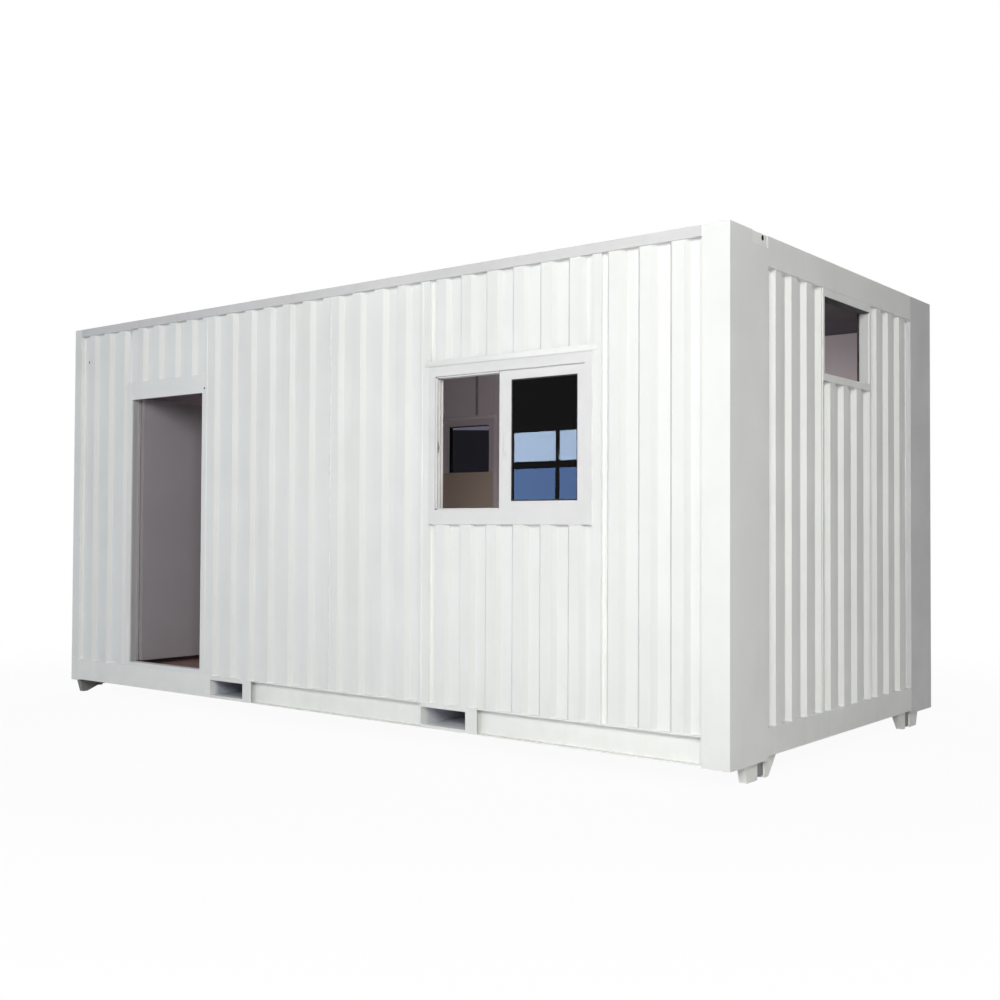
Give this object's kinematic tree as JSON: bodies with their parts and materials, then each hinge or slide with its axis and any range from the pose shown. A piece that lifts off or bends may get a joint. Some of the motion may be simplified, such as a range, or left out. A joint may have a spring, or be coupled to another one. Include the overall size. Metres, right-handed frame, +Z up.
{
  "type": "shipping container cabin",
  "caption": "Long steel container cabin with corrugated walls, an open doorway with an inward door, sliding side window, high end window, fork pockets and corner feet.",
  "frame": {"origin": "on the ground under the middle of the cabin's footprint", "axes": "+X along the cabin towards the end wall with the high window, +Y from the door side to the back, +Z up"},
  "size_m": [6.058, 3.048, 2.996],
  "materials": {
    "white_paint": "satin white paint on corrugated and folded steel",
    "window_frame": "white powder coat on aluminium",
    "door_panel": "satin grey paint",
    "glass": "dark tinted",
    "lining": "matt off-white wall board",
    "ceiling": "matt dark grey board",
    "floor": "dark red-brown sealed board",
    "underframe": "matt grey primer",
    "hardware": "brushed"
  },
  "bodies": {
    "cabin": {"back_lining": "lining", "back_sheets": "white_paint", "back_window_frame": "window_frame", "back_window_glass": "glass", "bottom_rail_back": "white_paint", "bottom_rail_front": "white_paint", "bottom_rail_left": "white_paint", "bottom_rail_right": "white_paint", "ceiling_lining": "ceiling", "corner_feet": "white_paint", "corner_post_back_left": "white_paint", "corner_post_back_right": "white_paint", "corner_post_front_left": "white_paint", "corner_post_front_right": "white_paint", "door_frame": "white_paint", "door_header": "white_paint", "door_hinges_fixed": "door_panel", "door_sill": "white_paint", "door_studs": "white_paint", "end_window_frame": "window_frame", "floor_crossmembers": "underframe", "floor_deck": "floor", "fork_pocket_left": "white_paint", "fork_pocket_right": "white_paint", "front_lining": "lining", "front_sheet_left": "white_paint", "front_sheet_over_door": "white_paint", "front_sheet_right": "white_paint", "front_sheets_middle": "white_paint", "front_sheets_window": "white_paint", "left_lining": "lining", "left_sheets": "white_paint", "lifting_lugs": "white_paint", "right_lining": "lining", "right_sheets": "white_paint", "right_sheets_window": "white_paint", "roof_sheet": "white_paint", "top_rail_back": "white_paint", "top_rail_front": "white_paint", "top_rail_left": "white_paint", "top_rail_right": "white_paint", "window_frame": "window_frame", "window_glass_inner": "glass", "window_glass_outer": "glass", "window_sash_inner": "window_frame", "window_sash_outer": "window_frame", "window_studs": "white_paint"},
    "door": {"door_leaf": "door_panel", "door_hinges_moving": "door_panel", "door_handles": "hardware"}
  },
  "joints": [
    {"name": "door_hinge", "type": "hinge", "parent": "cabin", "child": "door", "pos_m": [-2.254, -1.431, 0], "axis": [0, 0, 1], "range_deg": [-90, 45]}
  ]
}
